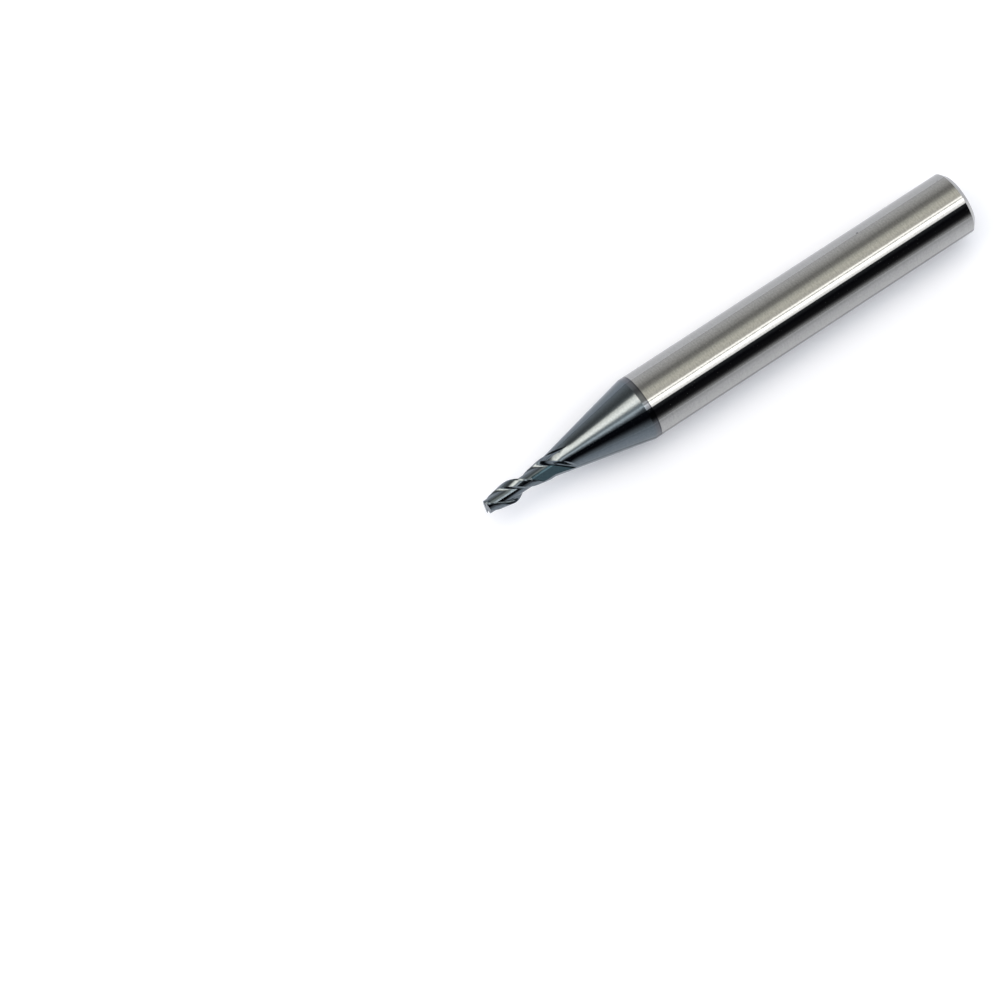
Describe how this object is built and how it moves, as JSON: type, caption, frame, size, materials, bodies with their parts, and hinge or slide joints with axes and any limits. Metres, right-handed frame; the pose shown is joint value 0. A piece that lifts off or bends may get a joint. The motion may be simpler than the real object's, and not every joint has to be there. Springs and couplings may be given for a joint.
{
  "type": "carbide milling cutter",
  "caption": "Miniature carbide end mill with a plain round shank, a long cone and a slim cutting head with right-hand helical flutes, for milling small slots and pockets.",
  "frame": {"origin": "centre of the shank's end face", "axes": "+Z along the tool's axis from the shank end to the cutting tip; the cutter stands on its shank end"},
  "size_m": [0.006, 0.006, 0.05],
  "materials": {
    "carbide": "ground carbide shank, dark blue-grey hard coating on the cone and the cutting head"
  },
  "bodies": {
    "root": {"milling_cutter": "carbide"}
  },
  "joints": []
}
